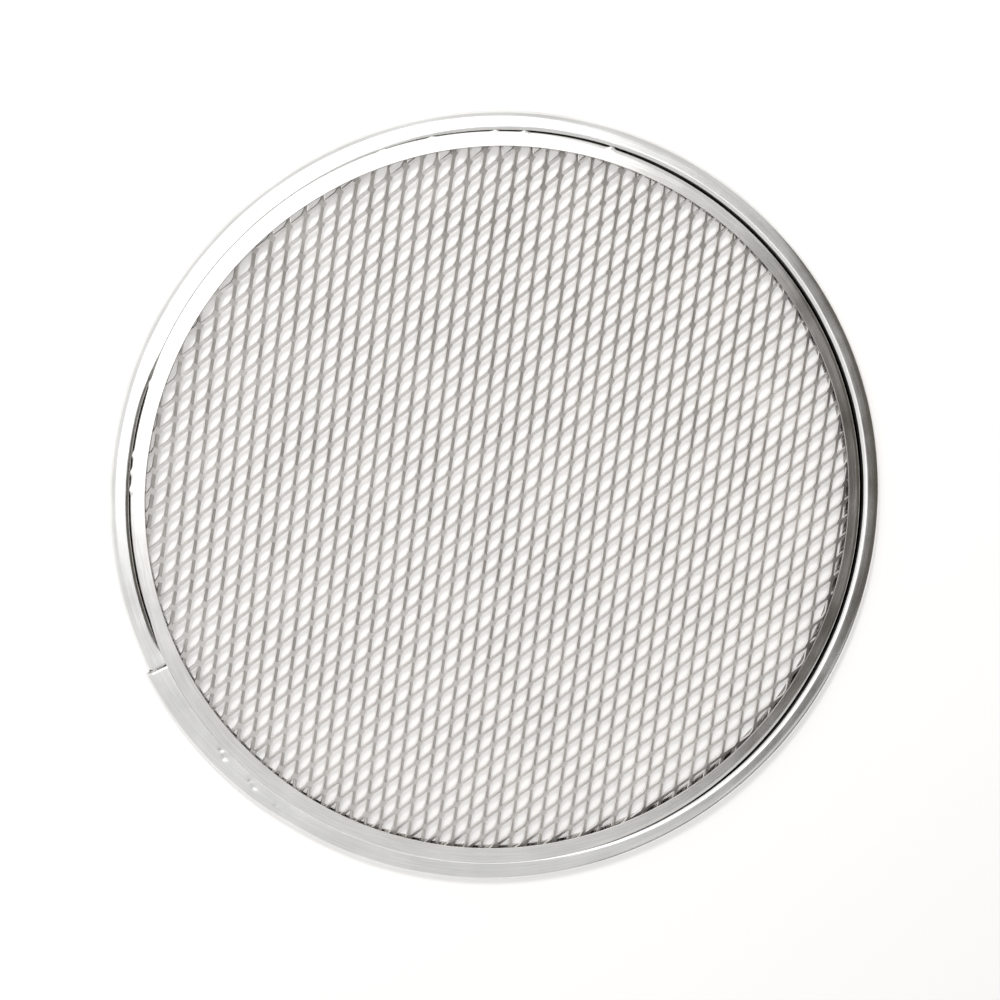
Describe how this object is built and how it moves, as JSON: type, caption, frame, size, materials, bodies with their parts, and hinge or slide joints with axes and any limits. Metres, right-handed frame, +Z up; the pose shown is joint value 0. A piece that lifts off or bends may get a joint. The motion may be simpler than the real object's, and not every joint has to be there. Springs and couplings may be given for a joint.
{
  "type": "pizza screen",
  "caption": "Round pizza screen: a flat disc of expanded aluminium clamped between pressed rings inside a rolled rim hoop, so that hot air reaches the base of a pizza.",
  "frame": {"origin": "on the surface that the screen rests on, under the centre of the disc", "axes": "+Z up through the disc, +X close to the long diagonal of the mesh's diamonds"},
  "size_m": [0.305, 0.305, 0.0067],
  "materials": {
    "mesh_aluminium": "bare expanded sheet, satin",
    "ring_aluminium": "bare pressed sheet, satin",
    "hoop_aluminium": "bare rolled strip, bright"
  },
  "bodies": {
    "root": {"mesh_disc": "mesh_aluminium", "upper_clamp_ring": "ring_aluminium", "lower_clamp_ring": "ring_aluminium", "rim_hoop": "hoop_aluminium"}
  },
  "joints": []
}
